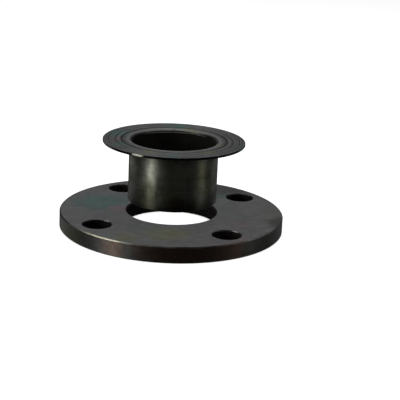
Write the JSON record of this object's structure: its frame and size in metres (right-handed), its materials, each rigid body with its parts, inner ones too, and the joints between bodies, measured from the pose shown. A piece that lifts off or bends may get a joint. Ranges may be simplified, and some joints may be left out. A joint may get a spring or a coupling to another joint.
{
  "type": "lap joint flange",
  "caption": "Loose lap-joint pipe flange: a flat drilled backing ring and the thin grooved stub end that it slides on, drawn apart along their common axis.",
  "frame": {"origin": "centre of the backing ring's back face, which is what the flange lies on", "axes": "+Z along the pipe axis, from the ring towards the lap's sealing face; the bolt holes straddle the X and Y axes"},
  "size_m": [0.1524, 0.1524, 0.0608],
  "materials": {
    "ring_steel": "turned carbon steel, blackened and lightly oiled",
    "stub_steel": "formed and turned carbon steel, blackened and lightly oiled"
  },
  "bodies": {
    "stub": {"stub_end": "stub_steel"},
    "ring": {"backing_ring": "ring_steel"}
  },
  "joints": [
    {"name": "ring_slide", "type": "slide", "parent": "stub", "child": "ring", "axis": [0, 0, 1], "range_m": [0, 0.0481]}
  ]
}
